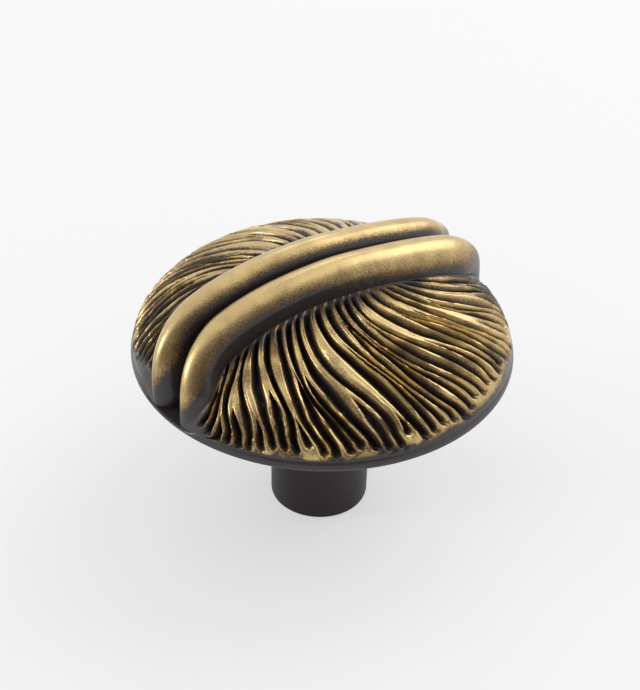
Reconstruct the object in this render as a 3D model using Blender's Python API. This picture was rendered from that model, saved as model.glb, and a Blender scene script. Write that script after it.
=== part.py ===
"""Round cabinet knob, cast in one piece: a domed head with two half-round bars across its middle and swept
ridges on both sides of them, on a plain round stem with a hole for the screw that fixes it.

Metres, +Z up. The origin is the centre of the stem's base, which sits on the door or drawer, and the bars run
along X. The head repeats itself after half a turn, so one half is modelled and turned to make the other."""

import math

import bmesh
import bpy
from mathutils import Matrix, Vector

# Stem and underside
STEM_DIAMETER = 0.0103
STEM_DRAFT = 0.0001
STEM_FILLET = 0.0025
BASE_CHAMFER = 0.0003
RIM_HEIGHT = 0.0187
UNDERSIDE_DROP = 0.0022

# Hole drilled for the thread of an 8-32 machine screw
HOLE_DIAMETER = 0.00345
HOLE_DEPTH = 0.0120
HOLE_CHAMFER = 0.0005
DRILL_POINT_DEGREES = 118.0

# Head: a smooth band round the rim, with the dome above it
HEAD_DIAMETER = 0.0381
RIM_EDGE_RADIUS = 0.0003
BAND_HEIGHT = 0.0010
BAND_DRAFT = 0.0002
DOME_RISE = 0.0079
DOME_FULLNESS = 0.56

# Dip: where the bars run out, the dome's edge sinks by this share of the band's straight height
DIP_SHARE = 0.85
DIP_START = 0.72
DIP_MIDDLE_DEGREES = 2.8
DIP_SPREAD_DEGREES = (8.0, 17.0)

# Bars: half-rounds on drafted flanks that arch over the dome side by side, swaying slightly on their way
BAR_WIDTH = 0.0037
BAR_GAP = 0.0003
BAR_STAND = 0.0028
BAR_FULLNESS = 0.26
BAR_ARCH_POWER = 1.6
BAR_SWAY = 0.0005
BAR_DRAFT_DEGREES = 6.0
VALLEY_STEP = 0.00015

# Ends of the bars: how far the near bar's left and right ends lie outside its straight line, how much
# narrower its inner side gets there, and how far its inner and outer sides are rounded back from the crest
END_SHIFTS = (0.0014, -0.0010)
SHIFT_POWER = 12
END_TAPER = 0.12
TAPER_START = 0.70
END_ROUNDING = (0.0020, 0.0005)
ROUNDING_POWER = 6
ROUNDING_HEIGHT = 0.0012

# Ridges: cut by grooves that leave the bar's foot between two margins, sweep round and run out at the band
GROOVE_COUNT = 44
GROOVE_DEPTH = 0.0008
GROOVE_SHARPNESS = 1.5
LEFT_MARGIN = 0.0014
RIGHT_MARGIN = 0.0105
START_POWER = 0.8
LEAVE_DEGREES = (-140.0, -110.0, 40.0)
LEAVE_POWER = 6
ARRIVE_DEGREES = (-117.0, 15.0)
SWEEP_TENSION = 0.36
WANDER = 0.2
LATE_STARTS = (0.15, 0.55)
GOLDEN_SHARE = 0.618

# Fineness of the faces: steps of the round shapes, and shares of each strip at which it has points
BAR_STATIONS = 32
HALF_TURN_STEPS = 36
BAND_STEPS = 2
ROW_SHARES = (0.0, 0.05, 0.14, 0.25, 0.37, 0.50, 0.63, 0.75, 0.86, 0.94, 1.0)
RIDGE_SHARES = (0.0, 0.28, 0.5, 0.72)
FLANK_SHARES = (0.0, 0.2, 0.4, 0.6, 0.8, 1.0)
INNER_SHARES = (0.0, 0.33, 0.67, 1.0)
SAME_POINT = 1e-6
SHARP_DEGREES = 35.0

# Sizes that follow from those above
RIM_RADIUS = HEAD_DIAMETER / 2
CROWN_RADIUS = RIM_RADIUS - BAND_DRAFT
BAND_FOOT = RIM_HEIGHT + RIM_EDGE_RADIUS
BAND_TOP = RIM_HEIGHT + BAND_HEIGHT
DIP_DEPTH = DIP_SHARE * (BAND_TOP - BAND_FOOT)
BAR_RADIUS = BAR_WIDTH / 2
BAR_OFFSET = (BAR_WIDTH + BAR_GAP) / 2
BAR_RISE = DOME_RISE + BAR_STAND
BAR_REACH = math.sqrt(CROWN_RADIUS**2 - BAR_OFFSET**2)

ANTIQUE_BRASS = (0.20, 0.14, 0.07, 1.0)
BRASS_ROUGHNESS = 0.4


def ring_point(angle, radius, height):
    return Vector((radius * math.cos(angle), radius * math.sin(angle), height))


def smooth_share(low, high, value):
    """How far a value has come from low to high, from 0 to 1, starting and stopping softly."""
    share = min(1.0, max(0.0, (value - low) / (high - low)))
    return share * share * (3.0 - 2.0 * share)


def dip(x, y):
    """How far the dome's edge sinks at a place in plan. The dip repeats itself after half a turn."""
    turned = math.degrees(math.atan2(y, x)) - DIP_MIDDLE_DEGREES
    away = abs((turned + 90.0) % 180.0 - 90.0)
    near_edge = smooth_share(DIP_START, 1.0, math.hypot(x, y) / CROWN_RADIUS)
    return DIP_DEPTH * near_edge * (1.0 - smooth_share(*DIP_SPREAD_DEGREES, away))


def dome_point(x, y, lift=0.0):
    """The point of the dome over (x, y), moved out along the dome's normal by lift."""
    left = max(0.0, 1.0 - (math.hypot(x, y) / CROWN_RADIUS) ** 2)
    point = Vector((x, y, BAND_TOP + DOME_RISE * left**DOME_FULLNESS - dip(x, y)))
    slope = 2.0 * DOME_RISE * DOME_FULLNESS / CROWN_RADIUS**2
    normal = Vector((slope * x, slope * y, left ** (1.0 - DOME_FULLNESS)))
    return point + normal.normalized() * lift


def bar_end(end):
    """The place in plan where the near bar ends, at the left (-1) or the right (1)."""
    y = -BAR_OFFSET - END_SHIFTS[0 if end < 0 else 1]
    return Vector((end * math.sqrt(CROWN_RADIUS**2 - y**2), y))


def valley_middle(share):
    """How far the middle of the valley between the bars lies from the X axis, at a share of the reach."""
    apart = (END_SHIFTS[0] - END_SHIFTS[1]) / 2
    return math.copysign(apart, share) * abs(share) ** SHIFT_POWER - BAR_SWAY * math.sin(math.pi * share)


def arch_point(x, y, share):
    """The point over a place in plan at the height that the bars' arch has at a share of its reach."""
    left = 1.0 - abs(share) ** BAR_ARCH_POWER
    return Vector((x, y, BAND_TOP + BAR_RISE * left**BAR_FULLNESS - dip(x, y)))


def bar_frame(turn):
    """The crest of the near bar at a turn, and the direction out of it. The sections run straight along Y."""
    share = math.sin(turn)
    left = 1.0 - abs(share) ** BAR_ARCH_POWER
    sway = BAR_SWAY * math.sin(math.pi * share)
    shift = END_SHIFTS[0 if share < 0 else 1] * abs(share) ** SHIFT_POWER
    reach = abs(bar_end(-1 if share < 0 else 1).x)
    crest = arch_point(reach * share, -BAR_OFFSET - sway - shift, share)
    steep = BAR_RISE * BAR_FULLNESS * BAR_ARCH_POWER * abs(share) ** (BAR_ARCH_POWER - 1.0)
    outward = Vector((math.copysign(steep, share), 0.0, BAR_REACH * left ** (1.0 - BAR_FULLNESS)))
    return crest, outward.normalized()


def inner_width(turn):
    """The near bar's width from the crest to the foot of its inner side."""
    return BAR_RADIUS * (1.0 - END_TAPER * smooth_share(TAPER_START, 1.0, abs(math.sin(turn))))


def rounded_back(turn, crest, rounding):
    """How far a side with this rounding lies back along X from a crest point."""
    above = 1.0 - math.exp(-max(0.0, crest.z - BAND_TOP) / ROUNDING_HEIGHT)
    return Vector((math.copysign(rounding * above, turn) * abs(math.sin(turn)) ** ROUNDING_POWER, 0.0, 0.0))


def bar_point(turn, place):
    """A point of the near bar. Turn runs from -90 degrees at its left end to 90 at its right end. Place is 0
    on the crest, 1 where the half-round ends on the outer side and more down the flank, with minus for the
    inner side."""
    crest, outward = bar_frame(turn)
    around = min(abs(place), 1.0) * math.pi / 2
    flank = max(abs(place) - 1.0, 0.0) * BAR_RADIUS
    width = inner_width(turn) if place < 0 else BAR_RADIUS
    out = width * math.sin(around) + flank * math.tan(math.radians(BAR_DRAFT_DEGREES))
    down = BAR_RADIUS * (1.0 - math.cos(around)) + flank
    back = rounded_back(turn, crest, END_ROUNDING[0 if place < 0 else 1] * math.sin(around) ** 2)
    return crest - outward * down - back - Vector((0.0, math.copysign(out, place), 0.0))


def foot_place(turn):
    """The place at which the near bar's outer side meets the dome, found by halving."""
    above, below = 0.0, 2.0 + BAR_RISE / BAR_RADIUS
    for _ in range(40):
        middle = (above + below) / 2
        point = bar_point(turn, middle)
        on_head = math.hypot(point.x, point.y) < CROWN_RADIUS
        if on_head and point.z > dome_point(point.x, point.y).z:
            above = middle
        else:
            below = middle
    return above


def foot_point(turn):
    """The point where the near bar's outer side meets the dome, or the band at its two ends."""
    if abs(abs(turn) - math.pi / 2) < 1e-3:
        place = bar_end(math.copysign(1, turn))
        return dome_point(place.x, place.y)
    point = bar_point(turn, foot_place(turn))
    return dome_point(point.x, point.y)


def foot_turn(reach):
    """The turn at which the bar has come to reach along X."""
    return math.asin(max(-1.0, min(1.0, reach / BAR_REACH)))


def sweep_point(share, along):
    """The place in plan on a ridge line. Share is 0 for the first line at the left end of the bar and 1 for
    the last on the right, and along is 0 at the bar's foot and 1 at the band."""
    first, last = LEFT_MARGIN - BAR_REACH, BAR_REACH - RIGHT_MARGIN
    start = foot_point(foot_turn(first + (last - first) * share**START_POWER)).xy
    left_rim, right_rim = (math.atan2(place.y, place.x) for place in (bar_end(-1), bar_end(1)))
    end = ring_point(left_rim + (right_rim - left_rim) * share, CROWN_RADIUS, 0.0).xy
    left, right, last_turn = LEAVE_DEGREES
    leave = math.radians(left + (right - left) * share + (last_turn - right) * share**LEAVE_POWER)
    arrive = math.radians(ARRIVE_DEGREES[0] + (ARRIVE_DEGREES[1] - ARRIVE_DEGREES[0]) * share)
    handle = SWEEP_TENSION * (end - start).length
    second = start + handle * Vector((math.cos(leave), math.sin(leave)))
    third = end - handle * Vector((math.cos(arrive), math.sin(arrive)))
    t = 1.0 - (1.0 - along) ** 1.5
    return start * (1 - t) ** 3 + second * 3 * t * (1 - t) ** 2 + third * 3 * t**2 * (1 - t) + end * t**3


def border_point(along, at_left):
    """The point on the stretch of the bar's foot that closes the ridges off at its left or right end."""
    first = foot_turn(LEFT_MARGIN - BAR_REACH if at_left else BAR_REACH - RIGHT_MARGIN)
    last = -math.pi / 2 if at_left else math.pi / 2
    return foot_point(first + (last - first) * along)


def late_start(index):
    """Where a groove begins along its line: every other one begins part of the way down from the bar."""
    first, last = LATE_STARTS
    return 0.0 if index % 2 == 0 else first + (last - first) * ((index * GOLDEN_SHARE) % 1.0)


def relief(place, along):
    """How far the surface lies under the dome at a place counted in grooves."""
    nearest = round(place)
    if nearest <= 0 or nearest >= GROOVE_COUNT:
        return 0.0
    across = 0.5 + 0.5 * math.cos(2 * math.pi * (place - nearest))
    begun = min(1.0, max(0.0, (along - late_start(nearest)) / 0.05))
    fading = min(1.0, max(0.0, (1.0 - along) / 0.1))
    return -GROOVE_DEPTH * across**GROOVE_SHARPNESS * begun * fading


def stray(place, along):
    """The sideways stray of a groove, in grooves, which dies out all round the edge of the pattern."""
    waves = math.sin(2.1 * place + 5.0 * along) + 0.7 * math.sin(0.9 * place - 9.0 * along)
    inner = min(1.0, place / 3, (GROOVE_COUNT - place) / 3)
    return WANDER * waves * inner * math.sin(math.pi * along)


def ridge_column(place):
    """The points of the line at a place counted in grooves, from the bar's foot to the band."""
    if place in (0, GROOVE_COUNT):
        return [border_point(along, at_left=place == 0) for along in ROW_SHARES]
    column = []
    for along in ROW_SHARES:
        share = (place + stray(place, along)) / GROOVE_COUNT
        plan = sweep_point(share, along)
        left_pull = border_point(along, at_left=True).xy - sweep_point(0.0, along)
        right_pull = border_point(along, at_left=False).xy - sweep_point(1.0, along)
        plan += left_pull * (1.0 - share) ** 12 + right_pull * share**12
        column.append(dome_point(plan.x, plan.y, relief(place, along)))
    return column


def ridge_columns():
    """The ridged field as columns of points, left to right."""
    places = [groove + share for groove in range(GROOVE_COUNT) for share in RIDGE_SHARES]
    return [ridge_column(place) for place in places + [GROOVE_COUNT]]


def add_grid(mesh, rows):
    """Faces between rows that have the same number of points."""
    made = [[mesh.verts.new(point) for point in row] for row in rows]
    for upper, lower in zip(made, made[1:]):
        for i in range(len(upper) - 1):
            mesh.faces.new((upper[i], upper[i + 1], lower[i + 1], lower[i]))


def run_shares(row):
    """The share of a row's length that each of its points has behind it."""
    run = [0.0]
    for a, b in zip(row, row[1:]):
        run.append(run[-1] + (b - a).length)
    return [length / run[-1] for length in run]


def add_zip(mesh, first, second):
    """Triangles between two rows that run side by side and may differ in their number of points."""
    a = [mesh.verts.new(point) for point in first]
    b = [mesh.verts.new(point) for point in second]
    share_a, share_b = run_shares(first), run_shares(second)
    i = j = 0
    while i < len(a) - 1 or j < len(b) - 1:
        if j == len(b) - 1 or (i < len(a) - 1 and share_a[i + 1] <= share_b[j + 1]):
            mesh.faces.new((a[i], a[i + 1], b[j]))
            i += 1
        else:
            mesh.faces.new((a[i], b[j + 1], b[j]))
            j += 1


def valley_points(turn):
    """Two points of the floor between the bars: at the near bar's inner side, and in the middle."""
    share = math.sin(turn)
    crest, outward = bar_frame(turn)
    side = crest + Vector((0.0, inner_width(turn), 0.0))
    middle = arch_point(BAR_REACH * share, valley_middle(share), share)
    down = outward * (BAR_RADIUS + VALLEY_STEP)
    return [point - down - rounded_back(turn, point, END_ROUNDING[0]) for point in (side, middle)]


def ledge_edge(end):
    """The stretch of the band's top that borders the near bar's end and half the valley, from the bar's
    crest to the middle: end is -1 at the left and 1 at the right. Each point lies straight out from one of
    the inner side."""
    levels = [bar_point(end * math.pi / 2, -share).y for share in INNER_SHARES]
    middle = valley_middle(end)
    levels += [(levels[-1] + middle) / 2, middle]
    return [dome_point(end * math.sqrt(CROWN_RADIUS**2 - y**2), y) for y in levels]


def add_bar(mesh, columns):
    """The near bar down to the ridges, the near half of the valley beside it and the ledges at their ends."""
    turns = [math.radians(-90.0 + 180.0 * i / BAR_STATIONS) for i in range(BAR_STATIONS + 1)]
    feet = [0.0] + [foot_place(turn) for turn in turns[1:-1]] + [0.0]
    outer = [[bar_point(turn, foot * share) for turn, foot in zip(turns, feet)] for share in FLANK_SHARES]
    ridge_edge = columns[0][:0:-1] + [column[0] for column in columns] + columns[-1][1:]
    add_grid(mesh, outer[:-1])
    add_zip(mesh, outer[-2], ridge_edge)
    inner = [[bar_point(turn, -share) for turn in turns] for share in INNER_SHARES]
    valley = list(zip(*(valley_points(turn) for turn in turns)))
    add_grid(mesh, inner + valley)
    add_grid(mesh, [[row[0] for row in inner + valley], ledge_edge(-1)])
    add_grid(mesh, [[row[-1] for row in inner + valley], ledge_edge(1)])


def arc(centre, radius, first, last, steps):
    """Points of an arc of the profile, from one angle in degrees to another."""
    points = []
    for i in range(steps + 1):
        angle = math.radians(first + (last - first) * i / steps)
        points.append((centre[0] + radius * math.cos(angle), centre[1] + radius * math.sin(angle)))
    return points


def turned_profile():
    """The outline that is turned about the axis, as radii and heights: the band, the rim's edge, the
    underside, the fillet, the stem and its hole."""
    shares = [1.0 - i / BAND_STEPS for i in range(1, BAND_STEPS)]
    band = [(RIM_RADIUS - BAND_DRAFT * t**2, BAND_FOOT + (BAND_TOP - BAND_FOOT) * t) for t in shares]
    edge = arc((RIM_RADIUS - RIM_EDGE_RADIUS, BAND_FOOT), RIM_EDGE_RADIUS, 0.0, -90.0, 2)
    stem = STEM_DIAMETER / 2
    fillet_height = RIM_HEIGHT - UNDERSIDE_DROP - STEM_FILLET
    fillet = arc((stem + STEM_FILLET, fillet_height), STEM_FILLET, 90.0, 180.0, 4)
    base = stem - STEM_DRAFT
    hole = HOLE_DIAMETER / 2
    drill_point = hole / math.tan(math.radians(DRILL_POINT_DEGREES / 2))
    foot = [(base, BASE_CHAMFER), (base - BASE_CHAMFER, 0.0), (hole + HOLE_CHAMFER, 0.0)]
    bore = [(hole, HOLE_CHAMFER), (hole, HOLE_DEPTH), (0.0, HOLE_DEPTH + drill_point)]
    return band + edge + fillet + foot + bore


def band_point(angle, radius, height):
    """A point turned about the axis. On the band it sinks with the dome's edge."""
    point = ring_point(angle, radius, height)
    share = min(1.0, max(0.0, (height - BAND_FOOT) / (BAND_TOP - BAND_FOOT)))
    point.z -= share * dip(point.x, point.y)
    return point


def add_turned(mesh, columns):
    """All below the dome: a profile turned through half a turn and joined to the ridges and the ledges."""
    left_ledge, right_ledge = ledge_edge(-1), ledge_edge(1)
    seam = math.atan2(right_ledge[-1].y, right_ledge[-1].x)
    profile = turned_profile()
    even = [math.pi * (i / HALF_TURN_STEPS - 1.0) for i in range(2 * HALF_TURN_STEPS)]
    angles = [seam - math.pi] + [angle for angle in even if seam - math.pi < angle < seam] + [seam]
    rings = [[band_point(angle, radius, height) for angle in angles] for radius, height in profile]
    add_grid(mesh, rings)
    crown = left_ledge[:0:-1] + [column[-1] for column in columns] + right_ledge[1:]
    add_zip(mesh, crown, rings[0])


def build_knob():
    mesh = bmesh.new()
    columns = ridge_columns()
    add_grid(mesh, columns)
    add_bar(mesh, columns)
    add_turned(mesh, columns)
    half = mesh.verts[:] + mesh.edges[:] + mesh.faces[:]
    copy = bmesh.ops.duplicate(mesh, geom=half)["geom"]
    turned = [item for item in copy if isinstance(item, bmesh.types.BMVert)]
    bmesh.ops.rotate(mesh, verts=turned, cent=(0, 0, 0), matrix=Matrix.Rotation(math.pi, 3, "Z"))
    bmesh.ops.remove_doubles(mesh, verts=mesh.verts[:], dist=SAME_POINT)
    bmesh.ops.recalc_face_normals(mesh, faces=mesh.faces[:])
    data = bpy.data.meshes.new("knob")
    mesh.to_mesh(data)
    mesh.free()
    data.shade_smooth()
    data.set_sharp_from_angle(angle=math.radians(SHARP_DEGREES))
    knob = bpy.data.objects.new("knob", data)
    bpy.context.scene.collection.objects.link(knob)
    return knob


def antique_brass():
    material = bpy.data.materials.new("antique_brass")
    material.use_nodes = True
    shader = material.node_tree.nodes["Principled BSDF"]
    shader.inputs["Base Color"].default_value = ANTIQUE_BRASS
    shader.inputs["Metallic"].default_value = 1.0
    shader.inputs["Roughness"].default_value = BRASS_ROUGHNESS
    return material


def main():
    for item in list(bpy.data.objects):
        bpy.data.objects.remove(item)
    knob = build_knob()
    knob.data.materials.append(antique_brass())


main()
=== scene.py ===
"""Looks of the round cabinet knob: one casting in antique brass, with carved ridges and rubbed crests.

Metres, +Z up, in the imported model's frame. The origin is the centre of the stem's base, and the bars run
along X. The head repeats itself after half a turn, so one half is modelled and turned to make the other."""

from __future__ import annotations

import logging
import math
from dataclasses import dataclass, field
from enum import Enum
from typing import Union

import bmesh
import bpy
import numpy as np
from mathutils import Matrix, Vector

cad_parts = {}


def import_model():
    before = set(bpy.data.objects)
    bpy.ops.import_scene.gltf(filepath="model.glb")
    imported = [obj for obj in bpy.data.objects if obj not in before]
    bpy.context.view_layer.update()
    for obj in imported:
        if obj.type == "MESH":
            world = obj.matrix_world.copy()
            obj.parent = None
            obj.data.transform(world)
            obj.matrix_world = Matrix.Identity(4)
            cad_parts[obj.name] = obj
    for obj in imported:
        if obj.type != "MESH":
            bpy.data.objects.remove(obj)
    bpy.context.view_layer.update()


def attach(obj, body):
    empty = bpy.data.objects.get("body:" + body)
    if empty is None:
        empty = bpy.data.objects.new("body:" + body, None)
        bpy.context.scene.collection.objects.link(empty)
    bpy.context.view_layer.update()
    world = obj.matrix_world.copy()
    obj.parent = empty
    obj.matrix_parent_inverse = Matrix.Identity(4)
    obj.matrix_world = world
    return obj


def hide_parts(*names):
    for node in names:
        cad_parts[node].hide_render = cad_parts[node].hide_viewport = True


LOG = logging.getLogger("knob")
NODE = "knob"
SAME_POINT = 1e-7
FAR_SIDE_PLACES = 100.0
HALF_TURN = np.diag([-1.0, -1.0, 1.0])
HALVINGS = 40
BROWN_LEVELS = (-0.26, 0.06)
BRIGHT_LEVELS = (-0.10, 0.52)
TONE_SPREAD, TONE_MIDDLE = 1.4, 0.6
FINE_GRAIN_SCALE, FINE_GRAIN_SHARE = 3.7, 0.35
START_DRAW, WIDTH_DRAW, TIP_DRAW, DEPTH_DRAW = 1000.0, 2000.0, 3000.0, 4000.0
SHARP_DEGREES = 50.0
WHITE = (1.0, 1.0, 1.0, 1.0)

Array = np.ndarray
Socket = bpy.types.NodeSocket
Color = tuple[float, float, float, float]
Ramp = tuple[float, float, float, float]
Span = tuple[float, float]
Value = Union[Socket, float, int, bool, tuple[float, ...]]
Inputs = dict[Union[str, int], Value]


class Part(Enum):
    """The stretches of the casting that are finished differently, numbered as on their faces."""

    HEAD = 0
    STEM = 1
    THREAD = 2


def smoothstep(low: float, high: float, value: Array) -> Array:
    """A smooth rise from 0 at low to 1 at high."""
    t = np.clip((value - low) / (high - low), 0.0, 1.0)
    return t * t * (3.0 - 2.0 * t)


def heading(angle: Array) -> Array:
    """The direction in plan at an angle in radians."""
    return np.stack([np.cos(angle), np.sin(angle)], axis=-1)


@dataclass
class Shell:
    """Points with their fields, and faces, of one surface that is gathered strip by strip."""

    points: list[Array] = field(default_factory=list)
    fields: list[Array] = field(default_factory=list)
    outs: list[Array] = field(default_factory=list)
    faces: list[tuple[int, ...]] = field(default_factory=list)
    parts: list[int] = field(default_factory=list)
    count: int = 0

    NAMES = ("place", "along", "carve", "rub", "show", "bore")

    def add(self, points: Array, outs: Array | None = None, **values: Array | float) -> Array:
        """Take in points.

        Args:
            points: an array of any shape that ends in three coordinates.
            outs: the direction out of the surface at each point, where the carving needs it.
            values: what each named field holds at the points; a field that isn't given is 0.

        Returns:
            The points' numbers, in the shape of the array.
        """
        shape = points.shape[:-1]
        flat = points.reshape(-1, 3)
        table = np.zeros((len(flat), len(self.NAMES)))
        for name, value in values.items():
            table[:, self.NAMES.index(name)] = np.broadcast_to(value, shape).ravel()
        self.points.append(flat)
        self.fields.append(table)
        self.outs.append(np.zeros_like(flat) if outs is None else outs.reshape(-1, 3))
        first = self.count
        self.count += len(flat)
        return np.arange(first, self.count).reshape(shape)

    def grid(self, numbers: Array, part: Part) -> None:
        """Add faces between neighbouring rows and columns of points.

        Args:
            numbers: a table of the points' numbers.
            part: the stretch that the faces belong to.
        """
        corners = (numbers[:-1, :-1], numbers[:-1, 1:], numbers[1:, 1:], numbers[1:, :-1])
        quads = np.stack([corner.ravel() for corner in corners], axis=1)
        self.faces.extend(map(tuple, quads.tolist()))
        self.parts.extend([part.value] * len(quads))

    def zip(self, first: Array, second: Array, part: Part) -> None:
        """Add triangles between two rows of points that run side by side and may differ in number.

        Args:
            first: the points' numbers in one row.
            second: those in the other row.
            part: the stretch that the triangles belong to.
        """
        place = np.concatenate(self.points)
        shares = []
        for row in (first, second):
            steps = np.linalg.norm(np.diff(place[row], axis=0), axis=1)
            run = np.concatenate([[0.0], np.cumsum(steps)])
            shares.append(run / run[-1])
        i = j = 0
        while i < len(first) - 1 or j < len(second) - 1:
            ahead = i < len(first) - 1 and (j == len(second) - 1 or shares[0][i + 1] <= shares[1][j + 1])
            if ahead:
                self.faces.append((int(first[i]), int(first[i + 1]), int(second[j])))
                i += 1
            else:
                self.faces.append((int(first[i]), int(second[j + 1]), int(second[j])))
                j += 1
            self.parts.append(part.value)

    def repeat_half_turn(self) -> None:
        """Add the same surface again, turned half way round the axis, with places of its own."""
        turned = np.concatenate(self.fields)
        turned[:, self.NAMES.index("place")] += FAR_SIDE_PLACES
        self.fields.append(turned)
        self.points.append(np.concatenate(self.points) @ HALF_TURN)
        self.outs.append(np.concatenate(self.outs) @ HALF_TURN)
        self.faces.extend([tuple(n + self.count for n in face) for face in self.faces])
        self.parts.extend(self.parts)
        self.count *= 2

    def to_mesh(self, name: str) -> bpy.types.Mesh:
        """Make the closed mesh, with points merged where strips meet and faces pointing outwards.

        Args:
            name: what to call it.

        Returns:
            The mesh, which holds the fields as attributes.
        """
        mesh = bpy.data.meshes.new(name)
        mesh.from_pydata(np.concatenate(self.points).tolist(), [], self.faces)
        table = np.concatenate(self.fields)
        for column, title in enumerate(self.NAMES):
            layer = mesh.attributes.new(title, "FLOAT", "POINT")
            layer.data.foreach_set("value", table[:, column].astype(np.float32))
        layer = mesh.attributes.new("out", "FLOAT_VECTOR", "POINT")
        layer.data.foreach_set("vector", np.concatenate(self.outs).astype(np.float32).ravel())
        layer = mesh.attributes.new("part", "INT", "FACE")
        layer.data.foreach_set("value", np.array(self.parts, dtype=np.int32))
        shape = bmesh.new()
        shape.from_mesh(mesh)
        bmesh.ops.remove_doubles(shape, verts=shape.verts[:], dist=SAME_POINT)
        bmesh.ops.recalc_face_normals(shape, faces=shape.faces[:])
        shape.to_mesh(mesh)
        shape.free()
        mesh.shade_smooth()
        return mesh


@dataclass
class Dome:
    """The head's dome above its smooth rim band."""

    rim_radius: float
    rim_height: float = 0.0187
    band_height: float = 0.0010
    band_draft: float = 0.0002
    rise: float = 0.0079
    fullness: float = 0.56
    dip_depth: float = 0.000595
    dip_middle: float = 2.8
    dip_start: float = 0.72
    dip_spread: Span = (8.0, 17.0)

    @property
    def crown_radius(self) -> float:
        """The dome's radius where it meets the band."""
        return self.rim_radius - self.band_draft

    @property
    def band_top(self) -> float:
        """The height of the band's upper edge."""
        return self.rim_height + self.band_height

    def dip(self, plan: Array) -> Array:
        """How far the dome's edge sinks where the bars' ends run out over the band.

        Args:
            plan: an array that ends in x and y.

        Returns:
            The depths at those places.
        """
        radius = np.hypot(plan[..., 0], plan[..., 1]) / self.crown_radius
        turned = np.degrees(np.arctan2(plan[..., 1], plan[..., 0])) - self.dip_middle
        away = np.abs((turned + 90.0) % 180.0 - 90.0)
        near_edge = smoothstep(self.dip_start, 1.0, radius)
        return self.dip_depth * near_edge * (1.0 - smoothstep(*self.dip_spread, away))

    def surface(self, plan: Array) -> tuple[Array, Array]:
        """The dome over places in plan.

        Args:
            plan: an array that ends in x and y.

        Returns:
            The points of the dome there, and its normals.
        """
        radius = np.hypot(plan[..., 0], plan[..., 1])
        left = np.clip(1.0 - (radius / self.crown_radius) ** 2, 0.0, 1.0)
        height = self.band_top + self.rise * left**self.fullness - self.dip(plan)
        slope = 2.0 * self.rise * self.fullness / self.crown_radius**2 * plan
        normal = np.concatenate([slope, left[..., None] ** (1.0 - self.fullness)], axis=-1)
        normal /= np.linalg.norm(normal, axis=-1, keepdims=True)
        return np.concatenate([plan, height[..., None]], axis=-1), normal

    def ring(self, angle: Array, radius: float, height: float) -> Array:
        """Points of a level circle round the axis."""
        return np.concatenate([radius * heading(angle), np.full_like(angle, height)[..., None]], axis=-1)


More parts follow.
